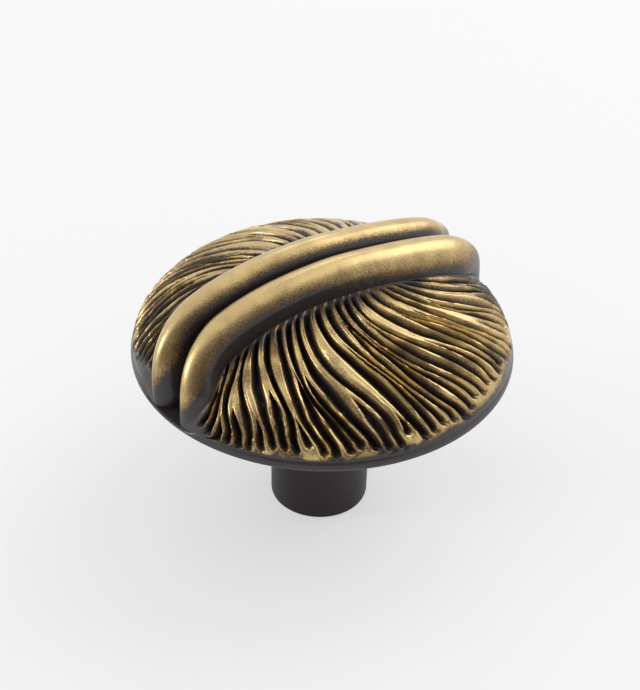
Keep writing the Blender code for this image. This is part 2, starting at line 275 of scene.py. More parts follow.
@dataclass
class Bars:
    """Two half-round bars on drafted flanks that arch over the dome side by side, swaying slightly."""

    dome: Dome
    width: float = 0.0037
    gap: float = 0.0003
    stand: float = 0.0028
    fullness: float = 0.26
    arch_power: float = 1.6
    end_taper: float = 0.12
    taper_from: float = 0.70
    end_round: Span = (0.0020, 0.0005)
    round_height: float = 0.0012
    round_power: int = 6
    sway: float = 0.0005
    end_shift: Span = (0.0014, -0.0010)
    shift_power: float = 12.0
    draft_degrees: float = 6.0
    valley_step: float = 0.00015
    foot_samples: int = 721
    stations: int = 150
    outer_places: int = 15
    flank_rows: int = 10
    inner_places: int = 11
    top_share: float = 0.8
    flank_share: float = 0.95
    flank_power: float = 1.3
    outer_wear: Span = (0.06, 1.06)
    inner_wear: Span = (0.05, 0.80)
    end_wear: Span = (0.0006, 0.0048)
    end_wear_width: float = 0.3
    right_spread: float = 0.8
    right_spread_start: Span = (-0.35, 0.45)
    right_spread_end: Span = (0.70, 0.94)

    @property
    def radius(self) -> float:
        """The radius of the half-round."""
        return self.width / 2

    @property
    def offset(self) -> float:
        """How far each bar's crest lies from the middle."""
        return (self.width + self.gap) / 2

    @property
    def reach(self) -> float:
        """How far the crest's ends lie from the middle along X, on the dome's edge."""
        return math.sqrt(self.dome.crown_radius**2 - self.offset**2)

    @property
    def height(self) -> float:
        """How high the crests rise above the band."""
        return self.dome.rise + self.stand

    def end_place(self, end: int) -> Array:
        """The place in plan of the near bar's end, at the left (-1) or right (1)."""
        y = -self.offset - self.end_shift[0 if end < 0 else 1]
        return np.array([end * math.sqrt(self.dome.crown_radius**2 - y**2), y])

    def middle(self, share: Array) -> Array:
        """How far the valley's middle line lies from the X axis, at a share of the reach."""
        apart = (self.end_shift[0] - self.end_shift[1]) / 2 * np.sign(share)
        return apart * np.abs(share) ** self.shift_power - self.sway * np.sin(math.pi * share)

    def arch(self, plan: Array, share: Array) -> Array:
        """Put places in plan at the height of the bars' arch.

        Args:
            plan: an array that ends in x and y.
            share: how far along the arch each place lies, as a share of its reach.

        Returns:
            The points.
        """
        left = 1.0 - np.abs(share) ** self.arch_power
        height = self.dome.band_top + self.height * left**self.fullness - self.dome.dip(plan)
        return np.concatenate([plan, height[..., None]], axis=-1)

    def crest(self, turn: Array) -> tuple[Array, Array]:
        """The crest of the near bar.

        Args:
            turn: angles from -90 degrees at the left end to 90 at the right, in radians.

        Returns:
            The crest's points, and the directions out of them.
        """
        share = np.sin(turn)
        left = 1.0 - np.abs(share) ** self.arch_power
        sway = self.sway * np.sin(math.pi * share)
        shift = np.where(share < 0.0, *self.end_shift) * np.abs(share) ** self.shift_power
        reach = np.where(share < 0.0, -self.end_place(-1)[0], self.end_place(1)[0])
        points = self.arch(np.stack([reach * share, -self.offset - sway - shift], axis=-1), share)
        steep = self.height * self.fullness * self.arch_power
        steep = steep * np.abs(share) ** (self.arch_power - 1.0) * np.sign(share)
        outward = np.stack([steep, 0.0 * share, self.reach * left ** (1.0 - self.fullness)], axis=-1)
        return points, outward / np.linalg.norm(outward, axis=-1, keepdims=True)

    def taper(self, turn: Array) -> Array:
        """How much narrower the inner side gets towards the ends, as a share of its width."""
        return self.end_taper * smoothstep(self.taper_from, 1.0, np.abs(np.sin(turn)))

    def rounded_back(self, turn: Array, crest: Array, rounding: Array | float) -> Array:
        """How far the bar's rounded sides lie back along X from its crest.

        Args:
            turn: where along the bar, as for crest.
            crest: the points of the crest there.
            rounding: how far the sides lie back at the very ends.

        Returns:
            The distances, less than 0 at the left.
        """
        above = 1.0 - np.exp(-np.maximum(crest[..., 2] - self.dome.band_top, 0.0) / self.round_height)
        share = np.sin(turn)
        return np.sign(share) * np.abs(share) ** self.round_power * above * rounding

    def point(self, turn: Array, place: Array) -> Array:
        """Points of the near bar's surface.

        Args:
            turn: where along the bar, as for crest.
            place: 0 on the crest, 1 where the half-round ends on the outer side and more down the flank, and
                minus the same on the inner side.

        Returns:
            The points.
        """
        crest, outward = self.crest(turn)
        around = np.minimum(np.abs(place), 1.0) * math.pi / 2
        flank = np.maximum(np.abs(place) - 1.0, 0.0) * self.radius
        half_width = self.radius * np.where(place < 0.0, 1.0 - self.taper(turn), 1.0)
        out = half_width * np.sin(around) + flank * math.tan(math.radians(self.draft_degrees))
        down = self.radius * (1.0 - np.cos(around)) + flank
        points = crest - outward * down[..., None]
        points[..., 1] -= out * np.sign(place)
        rounding = np.where(place < 0.0, *self.end_round) * np.sin(around) ** 2
        points[..., 0] -= self.rounded_back(turn, crest, rounding)
        return points

    def foot_place(self, turn: Array) -> Array:
        """Find by halving where the outer side meets the dome.

        Args:
            turn: where along the bar, as for crest.

        Returns:
            The places round the bar, as for point.
        """
        above = np.zeros_like(turn)
        below = np.full_like(turn, 2.0 + self.height / self.radius)
        for _ in range(HALVINGS):
            middle = (above + below) / 2
            point = self.point(turn, middle)
            dome, _ = self.dome.surface(point[..., :2])
            on_head = np.hypot(point[..., 0], point[..., 1]) < self.dome.crown_radius
            is_above = on_head & (point[..., 2] > dome[..., 2])
            above = np.where(is_above, middle, above)
            below = np.where(is_above, below, middle)
        return np.where(np.isclose(np.abs(turn), math.pi / 2), 0.0, above)

    def foot_line(self) -> tuple[Array, Array]:
        """The line in plan where the outer side meets the dome.

        Returns:
            The turns along the bar, and the place in plan at each.
        """
        turn = np.linspace(-math.pi / 2, math.pi / 2, self.foot_samples)
        plan = self.point(turn, self.foot_place(turn))[:, :2]
        plan[0], plan[-1] = self.end_place(-1), self.end_place(1)
        return turn, plan

    def rub(self, points: Array, place: Array) -> Array:
        """How far the patina is rubbed off points of the near bar.

        Args:
            points: points of its surface.
            place: their places round it, as for point.

        Returns:
            1 along its top, and less down its sides and at its ends.
        """
        clear = smoothstep(*self.end_wear, points[..., 2] - self.dome.band_top)
        aside = np.abs(place) / (self.end_wear_width + (1.0 - self.end_wear_width) * clear)
        share = points[..., 0] / self.reach
        at_right = smoothstep(*self.right_spread_start, share) - smoothstep(*self.right_spread_end, share)
        outer = 1.0 - smoothstep(*self.outer_wear, aside / (1.0 + self.right_spread * at_right))
        inner = 1.0 - smoothstep(*self.inner_wear, aside)
        return np.where(place > 0.0, outer, inner) * np.sqrt(clear)

    def valley(self, turn: Array) -> Array:
        """The near half of the valley's floor.

        Args:
            turn: where along the bar, as for crest.

        Returns:
            Its points, in two rows: at the foot of the near bar's inner side and along the middle.
        """
        side, outward = self.crest(turn)
        side[:, 1] += self.radius * (1.0 - self.taper(turn))
        share = np.sin(turn)
        middle = self.arch(np.stack([self.reach * share, self.middle(share)], axis=-1), share)
        rows = np.stack([side, middle])
        floor = rows - outward * (self.radius + self.valley_step)
        floor[..., 0] -= self.rounded_back(turn, rows, self.end_round[0])
        return floor

    def ledge(self, end: int) -> Array:
        """The stretch of the band's top edge past an end of the near bar.

        Args:
            end: -1 for the left end and 1 for the right.

        Returns:
            Its points, from the crest to the middle of the valley.
        """
        place = -np.linspace(0.0, 1.0, self.inner_places)
        levels = self.point(np.full_like(place, end * math.pi / 2), place)[:, 1]
        middle = float(self.middle(np.array(float(end))))
        levels = np.concatenate([levels, [(levels[-1] + middle) / 2, middle]])
        plan = np.stack([end * np.sqrt(self.dome.crown_radius**2 - levels**2), levels], axis=-1)
        return np.concatenate([plan, self.dome.band_top - self.dome.dip(plan)[:, None]], axis=-1)

    def build(self, shell: Shell, ridge_edge: Array) -> tuple[Array, Array]:
        """Add the near bar, the near half of the valley and the ledges at their ends.

        Args:
            shell: the surface to add to.
            ridge_edge: the numbers of the ridges' points along the bar's foot, left to right.

        Returns:
            The numbers of the ledges' outer points, at the left and at the right, from the crest inwards.
        """
        turn = np.radians(np.linspace(-90.0, 90.0, self.stations + 1))
        foot = self.foot_place(turn)
        top = np.minimum(self.top_share * foot, 1.0)
        half_round = np.linspace(0.0, 1.0, self.outer_places)[:, None] * top
        down = np.linspace(0.0, self.flank_share, self.flank_rows)[1:, None]
        flank = top + (1.0 - (1.0 - down) ** self.flank_power) * (foot - top)
        places = np.concatenate([half_round, flank])
        outer = self.point(turn, places)
        numbers = shell.add(outer, rub=self.rub(outer, places))
        shell.grid(numbers, Part.HEAD)
        shell.zip(numbers[-1], ridge_edge, Part.HEAD)
        places = -np.linspace(0.0, 1.0, self.inner_places)[:, None] * np.ones_like(turn)
        inner = self.point(turn, places)
        inner_numbers = shell.add(inner, rub=self.rub(inner, places))
        rows = np.concatenate([inner_numbers, shell.add(self.valley(turn))])
        shell.grid(rows, Part.HEAD)
        left, right = (shell.add(self.ledge(end)) for end in (-1, 1))
        shell.grid(np.stack([rows[:, 0], left]), Part.HEAD)
        shell.grid(np.stack([rows[:, -1], right]), Part.HEAD)
        return left, right


@dataclass
class Ridges:
    """The carved field beside the near bar: lines that leave its foot, sweep round and run out at the band.

    A place across the field is counted in grooves, from the bar's left end to its right."""

    dome: Dome
    bars: Bars
    grooves: int = 44
    left_margin: float = 0.0014
    right_margin: float = 0.0105
    start_power: float = 0.8
    leave_degrees: tuple[float, float, float] = (-140.0, -110.0, 40.0)
    leave_power: int = 6
    arrive_degrees: Span = (-117.0, 15.0)
    tension: float = 0.36
    run_power: float = 1.5
    swings: tuple[Ramp, Ramp] = ((0.5, 0.6, 4.0, 0.0), (0.24, 1.7, -6.0, 1.0))
    swing_edge: float = 4.0
    swing_start: float = 0.15
    swing_power: float = 1.2
    pull_power: int = 12
    crowding: float = 0.09 / 1.4
    edge_inset: float = 0.03
    carve_edge: float = 1.1
    show_start: float = 0.02
    left_show: Span = (0.50, 0.30)
    right_show: Span = (0.74, 0.20)
    lines_per_groove: int = 11
    rows: int = 68
    row_easing: float = 0.25
    foot: tuple[Array, Array] = field(init=False)

    def __post_init__(self) -> None:
        """Work out the line that the ridges leave."""
        self.foot = self.bars.foot_line()

    def foot_at(self, turn: Array) -> Array:
        """The place in plan on the bar's foot at a turn."""
        turns, plan = self.foot
        return np.stack([np.interp(turn, turns, plan[:, 0]), np.interp(turn, turns, plan[:, 1])], axis=-1)

    def stray(self, place: Array, along: Array) -> Array:
        """How far lines stray sideways, which dies out all round the edge of the field.

        Args:
            place: the lines' places across the field.
            along: 0 at the bar's foot and 1 at the band.

        Returns:
            The distances, in grooves.
        """
        waves = sum(size * np.sin(a * place + b * along + c) for size, a, b, c in self.swings)
        inner = np.minimum(1.0, np.minimum(place, self.grooves - place) / self.swing_edge)
        down = np.minimum(1.0, self.swing_start + along) ** self.swing_power
        return waves * inner * np.sin(math.pi * down)

    def sweep(self, share: Array, along: Array) -> Array:
        """Places in plan on the field's lines.

        Args:
            share: 0 for the first line at the bar's left end and 1 for the last at its right.
            along: 0 at the bar's foot and 1 at the band.

        Returns:
            The places in plan.
        """
        reach = self.bars.reach
        first, last = self.left_margin - reach, reach - self.right_margin
        start = self.foot_at(np.arcsin((first + (last - first) * share**self.start_power) / reach))
        left_rim, right_rim = (math.atan2(*self.bars.end_place(end)[::-1]) for end in (-1, 1))
        rim = left_rim + (right_rim - left_rim) * share
        end = self.dome.crown_radius * heading(rim)
        left, right, turned = self.leave_degrees
        leave = np.radians(left + (right - left) * share + (turned - right) * share**self.leave_power)
        left, right = self.arrive_degrees
        arrive = np.radians(left + (right - left) * share)
        handle = self.tension * np.linalg.norm(end - start, axis=-1, keepdims=True)
        second, third = start + handle * heading(leave), end - handle * heading(arrive)
        t = (1.0 - (1.0 - along) ** self.run_power)[..., None]
        first_half = start * (1 - t) ** 3 + second * 3 * t * (1 - t) ** 2
        return first_half + third * 3 * t**2 * (1 - t) + end * t**3

    def border(self, along: Array, end: int) -> Array:
        """The stretch of the bar's foot that closes the field off at one end.

        Args:
            along: 0 where the field's outermost line starts and 1 at the bar's end.
            end: -1 for the left end and 1 for the right.

        Returns:
            The places in plan.
        """
        reach = self.bars.reach
        first = self.left_margin - reach if end < 0 else reach - self.right_margin
        first = math.asin(first / reach)
        return self.foot_at(first + (end * math.pi / 2 - first) * along)

    def build(self, shell: Shell) -> Array:
        """Add the field, still uncut, with what the carving needs to know at each point.

        Args:
            shell: the surface to add to.

        Returns:
            The points' numbers, a column for each line and a row for each step from the foot to the band.
        """
        spread = np.linspace(0.0, 1.0, self.lines_per_groove, endpoint=False)
        spread = spread - self.crowding * np.sin(2 * math.pi * spread)
        places = np.append(np.add.outer(np.arange(self.grooves), spread), self.grooves)
        steps = np.linspace(0.0, 1.0, self.rows + 1)
        eased = (1.0 - np.cos(math.pi * steps)) / 2
        steps = (1.0 - self.row_easing) * steps + self.row_easing * eased
        place, along = np.meshgrid(places, steps)
        share = (place + self.stray(place, along)) / self.grooves
        plan = self.sweep(share, along)
        left_pull = self.border(along, -1) - self.sweep(np.zeros_like(share), along)
        right_pull = self.border(along, 1) - self.sweep(np.ones_like(share), along)
        left_share, right_share = (part[..., None] ** self.pull_power for part in (1.0 - share, share))
        plan = plan + left_pull * left_share + right_pull * right_share
        edge = np.minimum(place, self.grooves - place)
        inset = self.edge_inset * (1.0 - along) * np.minimum(edge, 1.0)
        limit = self.dome.crown_radius * (1.0 - inset) / np.linalg.norm(plan, axis=-1)
        plan = plan * np.minimum(limit, 1.0)[..., None]
        points, normals = self.dome.surface(plan)
        carve = smoothstep(0.0, self.carve_edge, edge)
        show = 1.0
        for (least, reach), inwards in (self.left_show, share), (self.right_show, 1.0 - share):
            show = show * (least + (1.0 - least) * smoothstep(self.show_start, reach, inwards))
        numbers = shell.add(points, normals, place=place, along=along, carve=carve, show=carve * show)
        shell.grid(numbers, Part.HEAD)
        return numbers


@dataclass
class Stem:
    """All below the dome: the band, the rim's edge, the underside, the stem and its tapped hole."""

    dome: Dome
    diameter: float = 0.0103
    draft: float = 0.0001
    fillet: float = 0.0025
    base_chamfer: float = 0.0003
    underside_drop: float = 0.0022
    edge_radius: float = 0.0003
    hole_diameter: float = 0.00345
    hole_depth: float = 0.0120
    hole_chamfer: float = 0.0005
    drill_point_degrees: float = 118.0
    thread_pitch: float = 0.000794
    band_wear: float = 0.12
    wear_start: Span = (-2.8, -2.3)
    wear_end: Span = (-1.6, -0.8)
    band_points: int = 8
    band_from: float = 0.92
    edge_steps: int = 5
    fillet_steps: int = 9
    straight_points: int = 7
    corner_steps: int = 3
    base_rings: tuple[float, float, float] = (0.1, 0.9, 1.0)
    head_rows: int = 10
    half_turn_steps: int = 90
    bore_steps: int = 22
    rows_per_pitch: int = 8

    def arc(self, centre: Span, radius: float, angles: Span, steps: int) -> Array:
        """Points of an arc of the profile, from one angle in degrees to another."""
        return np.array(centre) + radius * heading(np.radians(np.linspace(*angles, steps + 1)))

    def outer_profile(self) -> Array:
        """The profile from just under the dome's edge down to the mouth of the hole.

        Returns:
            Its points, each a radius and a height.
        """
        dome = self.dome
        low = dome.rim_height + self.edge_radius
        t = np.linspace(self.band_from, 0.0, self.band_points)[:-1]
        band = np.stack([dome.rim_radius - dome.band_draft * t**2, low + (dome.band_top - low) * t], axis=-1)
        corner = (dome.rim_radius - self.edge_radius, low)
        edge = self.arc(corner, self.edge_radius, (0.0, -90.0), self.edge_steps)
        stem = self.diameter / 2
        root = (stem + self.fillet, dome.rim_height - self.underside_drop - self.fillet)
        fillet = self.arc(root, self.fillet, (90.0, 180.0), self.fillet_steps)
        t = np.linspace(0.0, 1.0, self.straight_points)[1:-1, None]
        underside = edge[-1] + (fillet[0] - edge[-1]) * t
        base = stem - self.draft
        corner = (base - self.base_chamfer, self.base_chamfer)
        corner = self.arc(corner, self.base_chamfer, (0.0, -90.0), self.corner_steps)
        shank = fillet[-1] + (corner[0] - fillet[-1]) * t
        mouth = self.hole_diameter / 2 + self.hole_chamfer
        ring = corner[-1] + (np.array([mouth, 0.0]) - corner[-1]) * np.array(self.base_rings)[:, None]
        return np.concatenate([band, edge, underside, fillet, shank, corner, ring])

    def bore_profile(self) -> Array:
        """The profile from the hole's chamfer up to the drill's point.

        Returns:
            Its points, each a radius and a height.
        """
        hole = self.hole_diameter / 2
        count = round(self.hole_depth / self.thread_pitch * self.rows_per_pitch)
        heights = np.linspace(self.hole_chamfer, self.hole_depth, count)
        wall = np.stack([np.full_like(heights, hole), heights], axis=-1)
        point = hole / math.tan(math.radians(self.drill_point_degrees / 2))
        tip = np.array([[hole * 0.5, self.hole_depth + point / 2], [0.0, self.hole_depth + point]])
        return np.concatenate([wall, tip])

    def build(self, shell: Shell, crown: Array, seam: float) -> None:
        """Add the near half of all below the dome.

        Args:
            shell: the surface to add to.
            crown: the numbers of the points round the dome's edge, from the left to the right.
            seam: the angle at which the crown's last point lies, in radians.
        """
        angle = seam + np.linspace(-math.pi, 0.0, self.half_turn_steps + 1)
        outer = np.stack([self.dome.ring(angle, r, z) for r, z in self.outer_profile()])
        low = self.dome.rim_height + self.edge_radius
        share = np.clip((outer[..., 2] - low) / (self.dome.band_top - low), 0.0, 1.0)
        outer[..., 2] -= self.dome.dip(outer[..., :2]) * share
        height = np.clip((outer[..., 2] - self.dome.rim_height) / self.dome.band_height, 0.0, 1.0)
        front = smoothstep(*self.wear_start, angle) * (1.0 - smoothstep(*self.wear_end, angle))
        numbers = shell.add(outer, rub=self.band_wear * height**3 * front)
        shell.zip(crown, numbers[0], Part.HEAD)
        shell.grid(numbers[: self.head_rows], Part.HEAD)
        shell.grid(numbers[self.head_rows - 1 :], Part.STEM)
        angle = seam + np.linspace(-math.pi, 0.0, self.bore_steps + 1)
        profile = self.bore_profile()
        bore = np.stack([self.dome.ring(angle, r, z) for r, z in profile])
        end = 1.0 - smoothstep(-2.0 * self.thread_pitch, 0.0, profile[:, 1] - self.hole_depth)
        threaded = np.where(profile[:, 0] > 0.99 * self.hole_diameter / 2, end, 0.0)
        bore_numbers = shell.add(bore, bore=threaded[:, None])
        shell.zip(numbers[-1], bore_numbers[0], Part.THREAD)
        shell.grid(bore_numbers, Part.THREAD)


class Graph:
    """A node tree that is being built, with short ways to add nodes and arithmetic."""

    def __init__(self, tree: bpy.types.NodeTree) -> None:
        """Start on a tree."""
        self.tree = tree

    def socket(self, name: str, kind: str, default: Value | None = None, output: bool = False) -> None:
        """Add an input or output to the tree's own interface.

        Args:
            name: what to call it.
            kind: its type, without NodeSocket in front.
            default: the value it holds until something is plugged in.
            output: whether it is an output.
        """
        side = "OUTPUT" if output else "INPUT"
        item = self.tree.interface.new_socket(name=name, in_out=side, socket_type=f"NodeSocket{kind}")
        if default is not None:
            item.default_value = default

    def node(self, kind: str, inputs: Inputs | None = None, **settings: object) -> bpy.types.Node:
        """Add a node.

        Args:
            kind: the node's type.
            inputs: what goes into each input, by name or number: another node's output, or a plain value.
            settings: the node's own settings.

        Returns:
            The node.
        """
        made = self.tree.nodes.new(kind)
        for name, value in settings.items():
            setattr(made, name, value)
        for key, value in (inputs or {}).items():
            self.put(made, key, value)
        return made

    def put(self, node: bpy.types.Node, key: str | int, value: Value) -> None:
        """Fill a node's input.

        Args:
            node: the node.
            key: the input's name or number.
            value: another node's output, or a plain value.
        """
        if isinstance(value, Socket):
            self.tree.links.new(value, node.inputs[key])
        else:
            node.inputs[key].default_value = value

    def math(self, operation: str, *values: Value, clamp: bool = False) -> Socket:
        """The result of one step of arithmetic on numbers."""
        made = self.node("ShaderNodeMath", dict(enumerate(values)), operation=operation, use_clamp=clamp)
        return made.outputs[0]

    def blend(self, first: Value, second: Value, share: Value) -> Socket:
        """A number between two others: the first at share 0 and the second at share 1."""
        return self.ramp(share, 0.0, 1.0, first, second)

    def plus(self, first: Value, second: Value) -> Socket:
        """The sum of two numbers."""
        return self.math("ADD", first, second)

    def less(self, first: Value, second: Value, clamp: bool = False) -> Socket:
        """The first number less the second."""
        return self.math("SUBTRACT", first, second, clamp=clamp)

    def times(self, first: Value, *others: Value) -> Socket:
        """Multiply numbers.

        Args:
            first: a number.
            others: what to multiply it by.

        Returns:
            The product.
        """
        for other in others:
            first = self.math("MULTIPLY", first, other)
        return first

    def ramp(self, value: Value, low: Value, high: Value, first: Value = 0.0, second: Value = 1.0) -> Socket:
        """A number that goes straight from first to second as value goes from low to high."""
        return self.node("ShaderNodeMapRange", dict(enumerate((value, low, high, first, second)))).outputs[0]

    def ease(self, value: Value, low: Value, high: Value, first: Value = 0.0, second: Value = 1.0) -> Socket:
        """A number that goes in a smooth curve from first to second as value goes from low to high."""
        inputs = dict(enumerate((value, low, high, first, second)))
        return self.node("ShaderNodeMapRange", inputs, interpolation_type="SMOOTHSTEP").outputs[0]

    def noise(self, where: Value, scale: Value, detail: float = 3.0, roughness: float = 0.5) -> Socket:
        """Smooth noise over points in space.

        Args:
            where: the points.
            scale: how many blobs go in a metre.
            detail: how many finer layers are added.
            roughness: how strong the finer layers are.

        Returns:
            A number from 0 to 1.
        """
        inputs = {"Vector": where, "Scale": scale, "Detail": detail, "Roughness": roughness}
        made = self.node("ShaderNodeTexNoise", inputs, noise_dimensions="3D")
        return made.outputs[0]

    def mix_color(self, first: Value, second: Value, share: Value) -> Socket:
        """Mix two colours.

        Args:
            first: the colour at share 0.
            second: the colour at share 1.
            share: how much of the second there is.

        Returns:
            The colour.
        """
        made = self.node("ShaderNodeMix", data_type="RGBA")
        for key, value in ((0, share), (6, first), (7, second)):
            self.put(made, key, value)
        return made.outputs[2]


class Field(Graph):
    """A Geometry Nodes tree."""

    def attribute(self, name: str, kind: str = "FLOAT") -> Socket:
        """What a named field of the mesh holds."""
        return self.node("GeometryNodeInputNamedAttribute", {"Name": name}, data_type=kind).outputs[0]

    def point(self, x: Value, y: Value) -> Socket:
        """A level place from its two coordinates."""
        return self.node("ShaderNodeCombineXYZ", {0: x, 1: y}).outputs[0]

    def random(self, number: Value, seed: Value, low: float = 0.0, high: float = 1.0) -> Socket:
        """A fixed random number for each whole number.

        Args:
            number: the whole number.
            seed: what changes all of them at once.
            low: the least it can be.
            high: the most it can be.

        Returns:
            The random number.
        """
        made = self.node("FunctionNodeRandomValue", data_type="FLOAT")
        for key, value in ((2, low), (3, high), (7, number), (8, seed)):
            self.put(made, key, value)
        return made.outputs[1]

    def store(self, geometry: Value, name: str, value: Value) -> Socket:
        """Keep a number at each point of the mesh.

        Args:
            geometry: the mesh.
            name: the field's name.
            value: the number.

        Returns:
            The mesh with the field.
        """
        inputs = {"Geometry": geometry, "Name": name, "Value": value}
        made = self.node("GeometryNodeStoreNamedAttribute", inputs, data_type="FLOAT", domain="POINT")
        return made.outputs[0]

    def shift(self, geometry: Value, direction: Value, length: Value) -> Socket:
        """Move each point along a direction."""
        offset = self.node("ShaderNodeVectorMath", {0: direction, 3: length}, operation="SCALE").outputs[0]
        return self.node("GeometryNodeSetPosition", {"Geometry": geometry, "Offset": offset}).outputs[0]


@dataclass
class Carving:
    """The sizes of the grooves, the thread and the wear, and how they are cut into the plain casting.

    The grooves cut down along the dome's normal. Each even one runs from the bar's foot, and each odd one
    opens as a pointed slit part of the way down, which forks a ridge. All end in rounded tips short of the
    band.

    A ramp is given as where it starts and ends and the values there."""

    depth: float = 0.00105
    sharpness: float = 1.4
    half_width: float = 0.5
    lone_width: float = 0.16
    slit_width: float = 0.16
    slit_start: Span = (0.06, 0.72)
    slit_length: float = 0.20
    slit_sink: float = 0.07
    foot_length: float = 0.05
    tip: Span = (0.88, 0.985)
    left_tip: Ramp = (3.0, 10.0, 0.045, 0.0)
    tip_length: float = 0.055
    track_step: float = 7.3
    track_scale: float = 3.4
    widths: Span = (0.82, 1.08)
    depths: Span = (0.8, 1.1)
    wander: float = 0.55
    streaks: float = 0.00009
    streak_scales: Span = (3.1, 5.0)
    streak_level: float = 0.6
    roughness: float = 0.00007
    rough_scale: float = 2300.0
    rough_patch_scale: float = 170.0
    rough_patches: Ramp = (0.48, 0.66, 0.3, 1.4)
    field_end: Ramp = (0.90, 1.0, 1.0, 0.0)
    front: tuple[float, float, float] = (-0.50, -0.87, 0.0)
    front_smudge: Ramp = (0.0128, 0.0178, 0.12, 0.85)
    smudge_scale: float = 520.0
    smudges: tuple[float, float, float] = (0.42, 0.58, 0.06)
    near_band: Span = (0.88, 1.0)
    band_fade: Ramp = (0.945, 1.0, 1.0, 0.0)
    foot_fade: Ramp = (0.02, 0.24, 0.3, 1.0)
    cloud_scale: float = 260.0
    clouds: Ramp = (0.36, 0.62, 0.66, 1.25)
    # How narrow the bare crests are, set by y: a plain power on the near side and a larger one on the far
    # side, where the narrowing is painted shade that darkens the far ridges.
    crest_power_with_far_shade: Ramp = (-0.001, 0.001, 2.2, 5.5)
    right_fade: Ramp = (0.0150, 0.0176, 1.0, 0.3)
    thread_pitch: float = 0.000794
    thread_depth: float = 0.00034
    thread_flank: Span = (0.12, 0.88)
    seed: int = 7

    def inputs(self) -> dict[str, tuple[str, float | int]]:
        """The sizes that can be changed on the tree.

        Returns:
            Each named input's kind and value.
        """
        return {
            "Groove Depth": ("Float", self.depth),
            "Groove Sharpness": ("Float", self.sharpness),
            "Slit Length": ("Float", self.slit_length),
            "Wander": ("Float", self.wander),
            "Streaks": ("Float", self.streaks),
            "Roughness": ("Float", self.roughness),
            "Thread Pitch": ("Float", self.thread_pitch),
            "Thread Depth": ("Float", self.thread_depth),
            "Seed": ("Int", self.seed),
        }

    def apply(self, piece: bpy.types.Object, finishes: dict[Part, bpy.types.Material]) -> None:
        """Carve a piece for good: the tree runs once and its result becomes the piece's mesh.

        Args:
            piece: the plain casting.
            finishes: the material of each stretch.
        """
        modifier = piece.modifiers.new("carving", "NODES")
        modifier.node_group = CarvingTree(self).finish(finishes)
        values = self.inputs()
        for item in modifier.node_group.interface.items_tree:
            if item.in_out == "INPUT" and item.name in values:
                modifier[item.identifier] = values[item.name][1]
        evaluated = piece.evaluated_get(bpy.context.evaluated_depsgraph_get())
        carved = bpy.data.meshes.new_from_object(evaluated)
        piece.modifiers.remove(modifier)
        piece.data = carved


